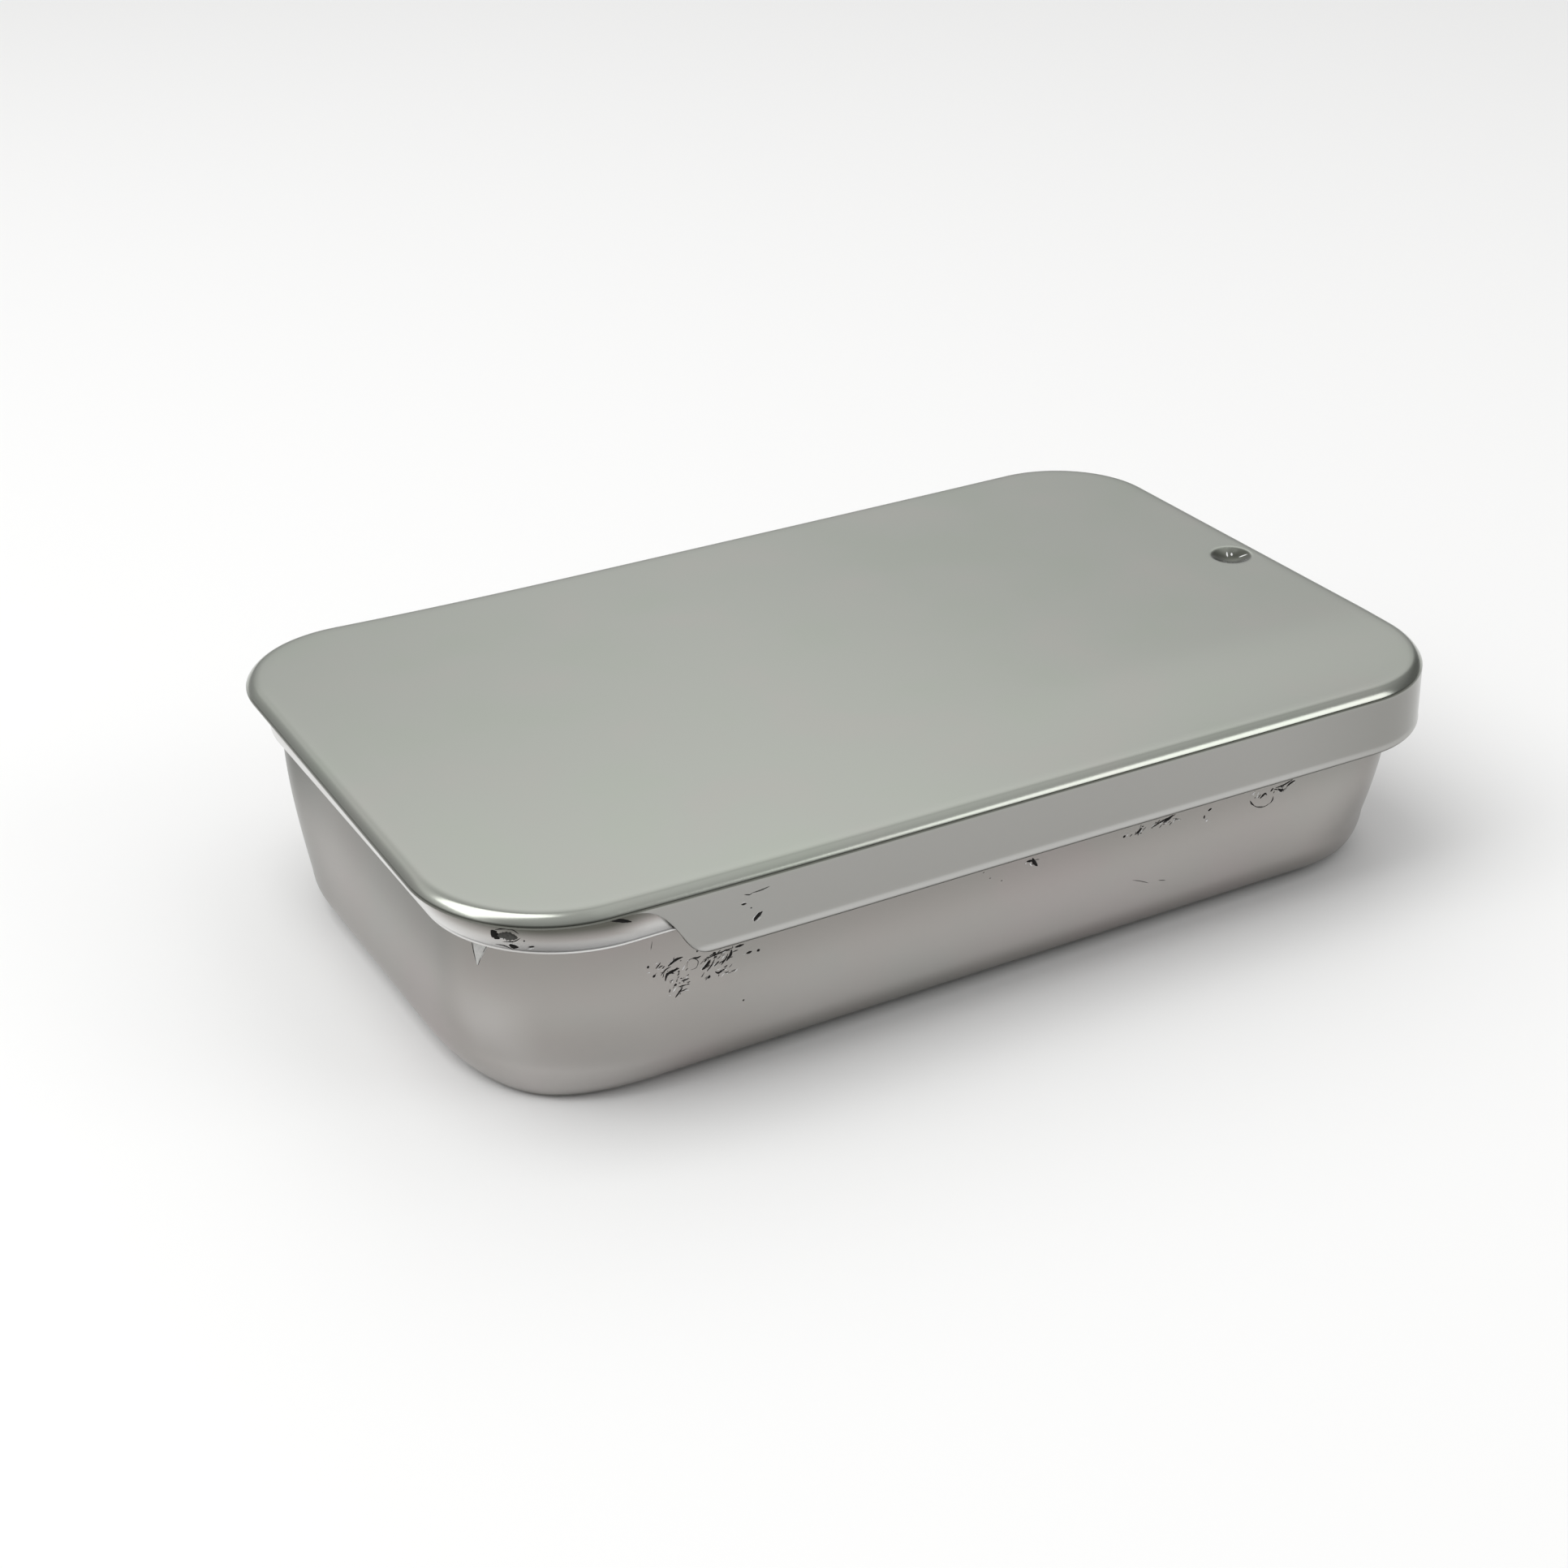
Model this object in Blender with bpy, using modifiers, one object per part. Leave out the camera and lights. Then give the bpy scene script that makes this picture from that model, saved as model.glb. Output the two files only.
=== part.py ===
"""Sliding lid tin: a drawn metal tray with a rolled rim and a lid that slides over it.

Units are metres, +Z is up. The origin is on the ground at the centre of the tin. +X runs along the
tin towards the lid's closed end, and the two long sides face -Y and +Y. The lid is shut: its skirt
wraps both long sides and the +X end, and its -X end is only a rolled edge over the tray's rim.
"""
import math

import bmesh
import bpy

# Whole tin
LENGTH = 0.0800
WIDTH = 0.0500
LID_TOP = 0.0165                 # height of the flat part of the lid

# Lid
SHEET = 0.00035                  # thickness of the lid's metal
LID_CORNER_OPEN = 0.0098         # corner radius in plan at the -X end
LID_CORNER_CLOSED = 0.0087       # corner radius in plan at the +X end
ROLL_RADIUS = 0.00075            # rolled edge round the top
SKIRT_HEIGHT = 0.0053
SKIRT_EDGE_RADIUS = 0.00025      # turn from the skirt into its hem
HEM_SIDE_WIDTH = 0.0018          # hem turned in under the rim, along the long sides
HEM_END_WIDTH = 0.0006           # the same at the closed end
LIP_HEIGHT = 0.00085             # rolled edge that is left at the open end
LIFT = 0.0008                    # the open end of the lid is bent up by this much
LIFT_POWER = 6                   # how closely the bend keeps to the open end
BEND_LINES = (-0.0375, -0.035, -0.0325, -0.030, -0.027, -0.024, -0.020, -0.015, -0.008)
# Free end of the skirt, an S-shaped slanting cut: (x, height below the lid's top)
SKIRT_END = ((-0.0283, 0.00085), (-0.0272, 0.00125), (-0.0265, 0.0020),
             (-0.0258, 0.0031), (-0.0250, 0.0042), (-0.0242, 0.0047), (-0.0232, 0.0064))

# Pressed detent in the lid, near the middle of the closed end
DENT_X = 0.0370
DENT_Y = 0.0002
DENT_RADIUS = 0.00175
DENT_DEPTH = 0.00045

# Tray
TRAY_X_OPEN = -0.0378
TRAY_X_CLOSED = 0.0387
TRAY_DRAFT = 0.0003              # the closed end's wall stands out by this much at its top
TRAY_WIDTH = 0.0454
TRAY_CORNER_TOP = 0.0076
TRAY_CORNER_LOW = 0.0116         # the corners widen towards the base
TRAY_CORNER_BASE = 0.0032
BASE_ROUND_HEIGHT = 0.0031       # rounding between wall and base
BASE_ROUND_WIDTH = 0.0036
RIM_X_OPEN = -0.0385
RIM_X_CLOSED = 0.0393
RIM_WIDTH = 0.0486
RIM_CORNER = 0.0093
RIM_BOTTOM = 0.0134
RIM_UNDERCUT = 0.0003            # the rim's underside climbs by this much towards the wall
RIM_LEAN = 0.0005                # the rim leans in by this much from its lower edge to its top
RIM_FLARE_POWER = 2.2            # how strongly the rim turns out towards its lower edge

GAP = 0.00035                    # clearance between tray and lid
ARC_STEPS = 8                    # facets in each plan corner


def remove_everything():
    for thing in list(bpy.data.objects):
        bpy.data.objects.remove(thing, do_unlink=True)


def new_collection(name, hidden=False):
    group = bpy.data.collections.new(name)
    bpy.context.scene.collection.children.link(group)
    group.hide_render = hidden
    return group


def metal(name, colour, roughness):
    material = bpy.data.materials.new(name)
    material.use_nodes = True
    shader = material.node_tree.nodes["Principled BSDF"]
    shader.inputs["Base Color"].default_value = (*colour, 1.0)
    shader.inputs["Metallic"].default_value = 1.0
    shader.inputs["Roughness"].default_value = roughness
    return material


def outline(x_low, x_high, y_half, radius_low, radius_high, height):
    """Rounded rectangle at one height, anticlockwise from above, starting at the +X +Y corner."""
    corners = ((x_high - radius_high, y_half - radius_high, radius_high, 0),
               (x_low + radius_low, y_half - radius_low, radius_low, 90),
               (x_low + radius_low, radius_low - y_half, radius_low, 180),
               (x_high - radius_high, radius_high - y_half, radius_high, 270))
    points = []
    for centre_x, centre_y, radius, start in corners:
        for step in range(ARC_STEPS + 1):
            angle = math.radians(start + 90.0 * step / ARC_STEPS)
            points.append((centre_x + radius * math.cos(angle),
                           centre_y + radius * math.sin(angle), height))
    return points


def first_ring(bm, points):
    """A flat face on the points, and its vertices in order."""
    ring = [bm.verts.new(point) for point in points]
    bm.faces.new(ring)
    return ring


def next_ring(bm, ring, points):
    """Extrudes the ring's edges and puts the new edge loop on the points."""
    edges = [bm.edges.get(pair) for pair in zip(ring, ring[1:] + ring[:1])]
    made = bmesh.ops.extrude_edge_only(bm, edges=edges)["geom"]
    fresh = {item for item in made if isinstance(item, bmesh.types.BMVert)}
    following = []
    for vertex, point in zip(ring, points):
        twin = next(edge.other_vert(vertex) for edge in vertex.link_edges
                    if edge.other_vert(vertex) in fresh)
        twin.co = point
        following.append(twin)
    return following


def new_object(name, bm, group, material=None):
    bmesh.ops.recalc_face_normals(bm, faces=bm.faces)
    mesh = bpy.data.meshes.new(name)
    bm.to_mesh(mesh)
    bm.free()
    thing = bpy.data.objects.new(name, mesh)
    group.objects.link(thing)
    if material:
        mesh.materials.append(material)
    return thing


def new_cutter(name, bm, group):
    cutter = new_object(name, bm, group)
    cutter.hide_render = True
    cutter.display_type = "WIRE"
    return cutter


def add_boolean(target, operation, operand):
    modifier = target.modifiers.new(operand.name, "BOOLEAN")
    modifier.operation = operation
    modifier.solver = "EXACT"
    modifier.object = operand


def lift_at(x):
    """How far the lid is bent up at this place along it."""
    along = min(max((LENGTH / 2 - x) / LENGTH, 0.0), 1.0)
    return LIFT * along ** LIFT_POWER


def lid_outline(inset, height):
    half = LENGTH / 2 - inset
    return outline(-half, half, WIDTH / 2 - inset,
                   LID_CORNER_OPEN - inset, LID_CORNER_CLOSED - inset, height)


def lid_surface():
    """The lid's outer face, from its flat top down over the roll and skirt and in under the hem."""
    bm = bmesh.new()
    ring = first_ring(bm, lid_outline(ROLL_RADIUS, LID_TOP))
    for degrees in (30, 60, 90):
        turn = math.radians(degrees)
        ring = next_ring(bm, ring, lid_outline(ROLL_RADIUS * (1 - math.sin(turn)),
                                               LID_TOP - ROLL_RADIUS * (1 - math.cos(turn))))
    foot = LID_TOP - SKIRT_HEIGHT
    ring = next_ring(bm, ring, lid_outline(0.0, foot + SKIRT_EDGE_RADIUS))
    ring = next_ring(bm, ring, lid_outline(SKIRT_EDGE_RADIUS, foot))
    next_ring(bm, ring, outline(HEM_END_WIDTH - LENGTH / 2, LENGTH / 2 - HEM_END_WIDTH,
                                WIDTH / 2 - HEM_SIDE_WIDTH, LID_CORNER_OPEN - HEM_SIDE_WIDTH,
                                LID_CORNER_CLOSED - HEM_SIDE_WIDTH, foot))
    for x in BEND_LINES:
        bmesh.ops.bisect_plane(bm, geom=bm.verts[:] + bm.edges[:] + bm.faces[:],
                               plane_co=(x, 0, 0), plane_no=(1, 0, 0))
    for vertex in bm.verts:
        vertex.co.z += lift_at(vertex.co.x)
    return bm


def skirt_end_cutter(group):
    """Prism that removes the skirt at the open end and leaves the rolled lip above it."""
    reach_x = -0.6 * LENGTH
    corners = [(x, LID_TOP + lift_at(x) - drop) for x, drop in SKIRT_END]
    corners.append((reach_x, LID_TOP - SKIRT_END[-1][1]))
    corners.append((reach_x, LID_TOP + LIFT - LIP_HEIGHT))
    corners += [(x, LID_TOP + lift_at(x) - LIP_HEIGHT) for x in (-LENGTH / 2,) + BEND_LINES
                if x < SKIRT_END[0][0]]
    bm = bmesh.new()
    side = bm.faces.new([bm.verts.new((x, -WIDTH, z)) for x, z in corners])
    made = bmesh.ops.extrude_face_region(bm, geom=[side])["geom"]
    moved = [item for item in made if isinstance(item, bmesh.types.BMVert)]
    bmesh.ops.translate(bm, verts=moved, vec=(0, 2 * WIDTH, 0))
    return new_cutter("skirt_end_cutter", bm, group)


def dent_cap(name, offset, cut_height, group):
    """The part of the dent's sphere, grown by the offset, that lies under the cut height."""
    sphere = (DENT_RADIUS ** 2 + DENT_DEPTH ** 2) / (2 * DENT_DEPTH)
    bm = bmesh.new()
    bmesh.ops.create_uvsphere(bm, u_segments=24, v_segments=36, radius=sphere + offset)
    bmesh.ops.translate(bm, verts=bm.verts, vec=(DENT_X, DENT_Y, LID_TOP - DENT_DEPTH + sphere))
    bmesh.ops.bisect_plane(bm, geom=bm.verts[:] + bm.edges[:] + bm.faces[:],
                           plane_co=(0, 0, cut_height), plane_no=(0, 0, 1), clear_outer=True)
    bmesh.ops.holes_fill(bm, edges=[edge for edge in bm.edges if edge.is_boundary])
    return new_cutter(name, bm, group)


def build_lid(group, cutters):
    lid = new_object("lid", lid_surface(), group, metal("lid_metal", (0.60, 0.62, 0.58), 0.38))
    shell = lid.modifiers.new("sheet", "SOLIDIFY")
    shell.thickness = SHEET
    shell.offset = -1.0
    shell.use_even_offset = True
    add_boolean(lid, "DIFFERENCE", skirt_end_cutter(cutters))
    add_boolean(lid, "UNION", dent_cap("dent_boss", SHEET, LID_TOP - SHEET / 2, cutters))
    add_boolean(lid, "DIFFERENCE", dent_cap("dent_hollow", 0.0, LID_TOP + SHEET, cutters))
    return lid


def tray_wall_outline(inset, radius, height, share=0.0):
    """The wall's outline at one height; share runs from 0 above the foot to 1 under the rim."""
    draft = TRAY_DRAFT * math.sin(math.radians(90 * share))
    return outline(TRAY_X_OPEN + inset, TRAY_X_CLOSED + draft - inset, TRAY_WIDTH / 2 - inset,
                   radius, radius, height)


def rim_outline(inset, height):
    return outline(RIM_X_OPEN + inset, RIM_X_CLOSED - inset, RIM_WIDTH / 2 - inset,
                   RIM_CORNER - inset, RIM_CORNER - inset, height)


def tray_body():
    """The tray from its base up: rounded foot, wall, and the rim that leans in to its top."""
    bm = bmesh.new()
    ring = None
    for degrees in range(90, -1, -15):
        turn = math.radians(degrees)
        inward = 1 - math.cos(turn)
        radius = TRAY_CORNER_LOW + (TRAY_CORNER_BASE - TRAY_CORNER_LOW) * inward
        points = tray_wall_outline(BASE_ROUND_WIDTH * inward, radius,
                                   BASE_ROUND_HEIGHT * (1 - math.sin(turn)))
        ring = next_ring(bm, ring, points) if ring else first_ring(bm, points)
    wall_top = RIM_BOTTOM + RIM_UNDERCUT
    for share in (0.25, 0.5, 0.75, 1.0):
        radius = TRAY_CORNER_TOP + (TRAY_CORNER_LOW - TRAY_CORNER_TOP) * (1 - share) ** 1.8
        height = BASE_ROUND_HEIGHT + (wall_top - BASE_ROUND_HEIGHT) * share
        ring = next_ring(bm, ring, tray_wall_outline(0.0, radius, height, share))
    rim_top = LID_TOP - SHEET - GAP
    for share in (0.0, 0.25, 0.5, 0.75, 1.0):
        lean = RIM_LEAN * (1 - (1 - share) ** RIM_FLARE_POWER)
        ring = next_ring(bm, ring, rim_outline(lean, RIM_BOTTOM + (rim_top - RIM_BOTTOM) * share))
    bm.faces.new(ring)
    return bm


def build_tray(group, cutters):
    tray = new_object("tray", tray_body(), group, metal("tray_metal", (0.54, 0.53, 0.51), 0.42))
    add_boolean(tray, "DIFFERENCE", dent_cap("dent_room", SHEET + GAP, LID_TOP, cutters))
    return tray


def main():
    remove_everything()
    parts = new_collection("sliding_lid_tin")
    cutters = new_collection("cutters", hidden=True)
    for thing in (build_tray(parts, cutters), build_lid(parts, cutters)):
        thing.data.shade_smooth()
        thing.data.set_sharp_from_angle(angle=math.radians(35))


main()
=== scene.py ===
"""Looks of the sliding lid tin: a finely modelled lid and tray in satin metal, their wear, painted light and
shade, light and camera.

Units are metres, +Z is up. +X runs along the tin to the lid's closed end; the long sides face -Y and +Y.
"""
import math
import random

import bmesh
import bpy
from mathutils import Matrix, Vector, noise
from mathutils.bvhtree import BVHTree


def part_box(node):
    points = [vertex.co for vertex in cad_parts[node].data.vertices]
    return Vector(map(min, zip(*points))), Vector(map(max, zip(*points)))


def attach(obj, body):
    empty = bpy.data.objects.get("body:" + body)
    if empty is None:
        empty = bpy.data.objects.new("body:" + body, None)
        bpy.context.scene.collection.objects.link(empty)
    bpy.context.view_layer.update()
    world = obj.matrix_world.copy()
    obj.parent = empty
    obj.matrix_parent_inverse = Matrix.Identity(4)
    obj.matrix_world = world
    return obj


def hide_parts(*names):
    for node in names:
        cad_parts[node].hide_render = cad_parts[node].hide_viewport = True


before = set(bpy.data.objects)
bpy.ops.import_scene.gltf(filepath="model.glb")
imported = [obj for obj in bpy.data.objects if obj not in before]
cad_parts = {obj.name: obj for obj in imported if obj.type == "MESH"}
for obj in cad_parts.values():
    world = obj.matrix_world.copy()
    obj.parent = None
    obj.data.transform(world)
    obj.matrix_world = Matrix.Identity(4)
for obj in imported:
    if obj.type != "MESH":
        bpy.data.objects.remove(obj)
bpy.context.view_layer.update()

MM = 0.001
X, Y, Z = range(3)

# ------------ lid: sizes; the box comes from the lid part in model.glb
LID_LOW, LID_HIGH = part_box("lid")
HALF_LENGTH = (LID_HIGH[X] - LID_LOW[X]) / 2
HALF_WIDTH = (LID_HIGH[Y] - LID_LOW[Y]) / 2
LID_TOP = 16.5 * MM                      # height of the flat part of the lid
LIFT_BACK = 1.0 * MM                     # bend at the lid's open end, at its back corner
LIFT_FRONT = 0.62 * MM                   # the same at its front corner
LIFT_POWER = 6                           # how suddenly the bend sets in
DROOP = 0.25 * MM                        # the front edge hangs lower by this much at the closed end
DROOP_X = (-5, 34)                       # it sets in along these stretches, in mm
DROOP_Y = (-12, -25)
SKEW = 0.22 * MM                         # the open end falls back by this much towards its back corner

SHEET = 0.26 * MM
CORNER_OPEN = 9.8 * MM
CORNER_CLOSED = 8.7 * MM
# Rolled edge from the flat top to the skirt, as arcs: (turn in degrees, radius)
ROLL_ARCS = ((10, 2.0 * MM), (26, 0.7 * MM), (22, 1.6 * MM), (32, 0.3 * MM))
ROLL_GROWTH = 0.05                       # the roll is larger by this share round the open end
ROLL_GROWTH_X = (-34, -26)               # over this stretch it comes down to its usual size, in mm
SKIRT_DEPTH = 5.25 * MM
LIP_DEPTH = 0.90 * MM
TOP_UNDERSIDE = LID_TOP - 1.5 * SHEET    # all of the flat sheet lies above this
HEM_RADIUS = 0.29 * MM
HEM_INNER_MIN = 0.03 * MM                # least radius inside the hem's fold
HEM_REACH = 0.5 * MM
HEM_DEPTHS = (2.5, 5.2)                  # the cut edge turns into the hem between these depths, in mm
BEAD = 0.035 * MM                        # the skirt's foot stands out by this much
BEAD_HEIGHT = 0.40 * MM
# Free end of the skirt: (x in mm, depth below the lid's top in mm)
SKIRT_END = ((-28.7, 0.90), (-28.2, 0.95), (-27.6, 1.10), (-27.0, 1.42), (-26.4, 1.95), (-25.9, 2.58),
             (-25.4, 3.38), (-25.0, 4.08), (-24.6, 4.62), (-24.2, 4.96), (-23.8, 5.15), (-23.3, 5.25))

DENT = Vector((37.05 * MM, 0.25 * MM))
DENT_RADIUS = 1.64 * MM
DENT_DEPTH = 0.56 * MM
DENT_SLOPE = 0.25                        # how much the bowl departs from a parabola
DENT_SHOULDER = 0.06                     # its edge rounds over within this share of the radius
DENT_SURROUND = 2.5 * MM                 # the faces up to here from the dent are made finer
DENT_CUTS = 7                            # by so many cuts

# ------------ tray: sizes
TRAY_X = (-37.68 * MM, 38.27 * MM)
TRAY_HALF_WIDTH = 22.7 * MM
BULGE = 0.20 * MM                        # the open end's wall bulges by this much ...
BULGE_MIDDLE = 8.0 * MM                  # ... at this height, and not at all ...
BULGE_ABOVE = 5.6 * MM                   # ... this far above it
BULGE_FOOT_LOSS = 0.35                   # share of the bulge that is gone at the ground
DRAFT = 0.38 * MM                        # the closed end's wall stands out by this much ...
DRAFT_HEIGHT = 10 * MM                   # ... from this height up
TRAY_CORNER_TOP = (8.8 * MM, 8.0 * MM)   # at the open and the closed end
TRAY_CORNER_LOW = (13.9 * MM, 12.0 * MM)
TRAY_CORNER_BASE = 3.6 * MM
TRAY_CORNER_POWER = 2.3                  # of the corners' curve, see outline()
TRAY_CORNER_CHANGE = 1.8                 # the radii change fastest low on the wall
FOOT_HEIGHT = 3.1 * MM
FOOT_WIDTH = 3.6 * MM
RIM_X = (-38.5 * MM, 39.3 * MM)
RIM_HALF_WIDTH = 24.4 * MM
RIM_CORNER = 9.9 * MM
RIM_BOTTOM = 13.42 * MM
RIM_TOP = 15.8 * MM
RIM_LEAN = 0.32 * MM
RIM_FLARE_POWER = 2.2                    # how strongly the rim turns out towards its lower edge
RIM_EDGE = 0.16 * MM                     # radius of the rim's lower edge
RIM_EDGE_TURN = 120                      # degrees that this edge turns through ...
RIM_EDGE_STEP = 20                       # ... in steps of so many
BAND_FOOT = RIM_BOTTOM + 1.6 * RIM_EDGE  # the rim's upright band starts here, set back ...
BAND_INSET = 0.2 * RIM_EDGE              # ... by this much
WALL_TOP = RIM_BOTTOM + 0.25 * MM        # the wall ends inside the rim

RIPPLE = 0.03 * MM                       # height of the sheets' unevenness
LID_RIPPLE = 17 * MM                     # its size along the lid and the tray
TRAY_RIPPLE = 12 * MM
LID_RIPPLE_STRETCH = 0.2                 # on the lid, heights count by this share only
TRAY_RIPPLE_HEIGHTS = (0, 2)             # the tray's ripple sets in above the ground, in mm

# ------------ how finely the sheets are divided
ARC_STEPS = 28                           # round each corner
ROLL_ROWS = 18
SKIRT_ROWS = 24
HEM_ROWS = 6
TOP_RINGS = 14
LID_RUNS = (40, 26)                      # along the straights of the long and the short sides
TRAY_RUNS = (44, 28)
CUT_START = -28.9                        # closer stations along the skirt's free end, in mm
CUT_STEP = 0.14
CUT_STATIONS = 41
CUT_MARGIN = 0.01                        # share of the long side left free beside them
FIRST_STATION = 0.012                    # one more station, at this share of the long side
FOOT_ROWS = 14
WALL_ROWS = 20
BAND_ROWS = 18
TUCK_SHARES = (0.25, 0.5, 0.75)          # rings between the wall's top and the rim's edge ...
TUCK_POWER = 1.5                         # ... which fall slowly first
BAND_SPREAD = 1.5                        # the band's rows lie closer together at its foot
WELD = 0.0005 * MM                       # vertices closer than this become one
SHARP_ANGLE = math.radians(40)

# ------------ painted light and shade of the sheets
# A range (from, to) in mm is a soft step: nothing of the shade shows at the first place, and all of it at the
# second. Strengths above 0 are painted light, and below 0 painted shade.
SKIRT_TINT_DEPTHS = (0.5, 1.1)           # painted reflection: the top's tint turns into the skirt's
FOOT_BAND = 0.30                         # painted highlight: light band along the skirt's foot ...
FOOT_BAND_HEIGHTS = (0.78, 0.50)         # ... by height above the foot
FOOT_LINE = 1.1                          # painted shadow: dark line under it
FOOT_LINE_HEIGHTS = (0.26, 0.13)
CLOSED_END_SHADE = 0.22                  # painted shade: the skirt is dimmer at the closed end
CLOSED_END_X = (20, 36)
LINE_SHADE = 0.75                        # painted shade: dark line under the roll, and dark lip of the open end
LINE_DEPTHS = ((0.58, 0.66), (0.84, 0.76))
LIP_DEPTHS = (0.72, 0.84)
LIP_X = (-27.6, -29.0)
DENT_PAINTED_SHADE = 0.84                        # how dark the painted shade in the dent is, up to 1
DENT_PAINTED_SHADE_EDGE = (0.93, 1.03)           # it ends here, in shares of the dent's radius
DENT_FAR_SIDE = Vector((0.48, 0.876))    # the painted shade thins out towards this side of the dent ...
DENT_FAR_LOSS = 0.5                      # ... by this share ...
DENT_FAR_RANGE = (0.35, 1.0)             # ... between these shares of the radius

# On the rim, heights are shares of its own height
RIM_HIGHLIGHT = 0.85                           # painted highlight along its lower edge
RIM_HIGHLIGHT_HEIGHTS = ((-0.06, 0.10), (0.45, 0.10))
RIM_HIGHLIGHT_BASE = 0.05
RIM_HIGHLIGHT_WANDER = 0.2                     # the painted highlight wanders by this much ...
RIM_HIGHLIGHT_LENGTH = 5 * MM                  # ... over this length
RIM_HIGHLIGHT_LAYER = 3 * MM                   # layer of the noise that is used
RIM_DIM_HEIGHTS = (0.28, 0.72)           # painted shade right under the lid ...
RIM_DIM_MOST = -0.85                     # ... never darker than this
RIM_CORNER_LOSS = 0.47                   # the near corner gets less of the painted highlight
RIM_CORNER_PLACE = ((X, -30, -36), (Y, -14, -22))
RIM_SKIRT_HIGHLIGHT = 0.8                      # near the skirt the painted highlight reaches higher up the front
RIM_SKIRT_X = (-30.3, -26.3)
RIM_SKIRT_HEIGHTS = (0.85, 0.25)
RIM_SKIRT_SHADE_LOSS = 0.3                    # share of the painted shade that is gone there

WALL_END_X = (-34, -37.5)                # where the wall counts as the open end
UNDER_RIM = 0.27                         # painted shade under the rim, and how much is added at the open end
UNDER_RIM_END = 0.34
UNDER_RIM_LOW = 7.5 * MM                 # it reaches down to here, and lower at the open end
UNDER_RIM_LOW_END = 5.5 * MM
NEAR_CORNER_HIGHLIGHT = 0.24                   # painted highlight on the near corner ...
NEAR_CORNER_CENTRE = Vector((-28 * MM, -14 * MM))
NEAR_CORNER_TURNS = ((-2, 18), (52, 24))     # ... in these directions from its centre, in degrees ...
NEAR_CORNER_HEIGHTS = (2, 6)             # ... above the foot
# Other painted light and shade of the wall: (strength, the ranges in which it shows)
LOW_FRONT = ((Z, 1.2, 2.8), (Z, 8.5, 4.5), (X, -26, -14), (Y, -15, -20))
WALL_SHADES = (
    (0.22, ((Z, 6, 1), (X, -20, -29), (Y, -6, -14))),       # foot of the near corner
    (0.14, LOW_FRONT),                                      # low along the front
    (-0.084, LOW_FRONT + ((X, 10, 28),)),                   # less of it towards the closed end
    (-0.15, ((X, -24, -20), (Z, 6.8, 9.6))),                # under the skirt
    (-0.44, ((X, -32, -12), (Z, 2.4, 0.1))),                # along the ground
    (-0.12, ((X, *WALL_END_X), (Z, 9, 4))),                 # foot of the open end
    (-0.50, ((Y, 5, 18), (X, -27, -36))),                   # back corner of the open end
    (-0.20, ((X, 31, 37),)),                                # closed end
)


# ------------ outlines
def stations(long_shares, short_shares):
    """Places round a rounded rectangle: (corner, share of its arc or None, share of the straight or None)."""
    places = []
    for corner in range(4):
        places += [(corner, step / ARC_STEPS, None) for step in range(ARC_STEPS + 1)]
        shares = long_shares if corner % 2 == 0 else short_shares
        if corner < 2:
            shares = [1.0 - share for share in reversed(shares)]
        places += [(corner, None, share) for share in shares]
    return places


def outline(places, x_range, y_half, radius_open, radius_closed, power=2.0):
    """(point, outward normal) in plan at each place; corners go +X+Y, -X+Y, -X-Y, +X-Y.

    With a power above 2 the corners run into the straights more softly than circles do.
    """
    x_open, x_closed = x_range
    centres = (Vector((x_closed - radius_closed, y_half - radius_closed)),
               Vector((x_open + radius_open, y_half - radius_open)),
               Vector((x_open + radius_open, radius_open - y_half)),
               Vector((x_closed - radius_closed, radius_closed - y_half)))
    radii = (radius_closed, radius_open, radius_open, radius_closed)

    def on_arc(corner, turn):
        across = Vector((math.cos(turn), math.sin(turn)))
        curve = Vector([math.copysign(abs(part) ** (2 / power), part) for part in across])
        normal = Vector([math.copysign(abs(part) ** (2 - 2 / power), part) for part in across]).normalized()
        return centres[corner] + curve * radii[corner], normal

    result = []
    for corner, arc_share, run_share in places:
        if arc_share is not None:
            result.append(on_arc(corner, math.radians(90 * (corner + arc_share))))
            continue
        turn = math.radians(90 * (corner + 1))
        start, normal = on_arc(corner, turn)
        end = on_arc((corner + 1) % 4, turn)[0]
        result.append((start.lerp(end, run_share), normal))
    return result


def even(count):
    """Shares that divide a line into this many equal pieces."""
    return [step / count for step in range(1, count)]


def raised(point, height):
    """The place at this height over a point of the plan."""
    return Vector((point.x, point.y, height))


def add_ring(bm, points):
    return [bm.verts.new(point) for point in points]


def bridge(bm, upper, lower):
    """Quads between two closed rings of vertices."""
    count = len(upper)
    for index in range(count):
        after = (index + 1) % count
        bm.faces.new((upper[index], lower[index], lower[after], upper[after]))


def add_object(name, bm):
    """Turns the bmesh into a new object of the scene."""
    mesh = bpy.data.meshes.new(name)
    bm.to_mesh(mesh)
    bm.free()
    piece = bpy.data.objects.new(name, mesh)
    bpy.context.scene.collection.objects.link(piece)
    return piece


def add_sheet(name, bm):
    bmesh.ops.remove_doubles(bm, verts=bm.verts, dist=WELD)
    bmesh.ops.recalc_face_normals(bm, faces=bm.faces)
    sheet = add_object(name, bm)
    sheet.data.shade_smooth()
    sheet.data.set_sharp_from_angle(angle=SHARP_ANGLE)
    return sheet


def smooth_step(low, high, value):
    share = min(max((value - low) / (high - low), 0.0), 1.0)
    return share * share * (3 - 2 * share)


def fade(value, start, full):
    """Soft step between two places given in mm."""
    return smooth_step(start * MM, full * MM, value)


def in_ranges(place, ranges):
    """How fully a place lies in all of the ranges, each (axis, from, to)."""
    return math.prod(fade(place[axis], start, full) for axis, start, full in ranges)


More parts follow.
